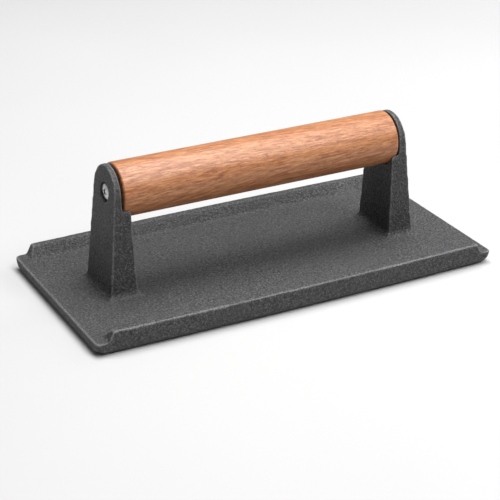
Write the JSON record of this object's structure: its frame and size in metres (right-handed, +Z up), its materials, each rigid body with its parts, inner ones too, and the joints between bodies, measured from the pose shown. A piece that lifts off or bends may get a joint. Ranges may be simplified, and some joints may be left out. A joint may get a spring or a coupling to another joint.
{
  "type": "bacon press",
  "caption": "Rectangular cast-iron bacon press with raised side rails, two tapered posts and a round wooden grip that turns on sleeve nuts between them.",
  "frame": {"origin": "middle of the sole's flat underside, on the surface that the press stands on", "axes": "+X along the grip and the plate's long side, +Y across the plate, +Z up from the sole to the grip"},
  "size_m": [0.21, 0.105, 0.0674],
  "materials": {
    "cast_iron": "seasoned sand-cast grain, matt to satin, dark charcoal grey",
    "beech": "turned and oiled beech, reddish brown, satin, grain along the grip",
    "steel": "bright zinc-plated steel"
  },
  "bodies": {
    "press": {"press_casting": "cast_iron", "tie_rod": "steel", "sleeve_nut_left": "steel", "sleeve_nut_right": "steel", "end_washer_left": "steel", "end_washer_right": "steel"},
    "grip": {"wood_handle": "beech"}
  },
  "joints": [
    {"name": "grip_turn", "type": "hinge", "parent": "press", "child": "grip", "pos_m": [0, 0, 0.0543], "axis": [1, 0, 0], "continuous": true}
  ]
}
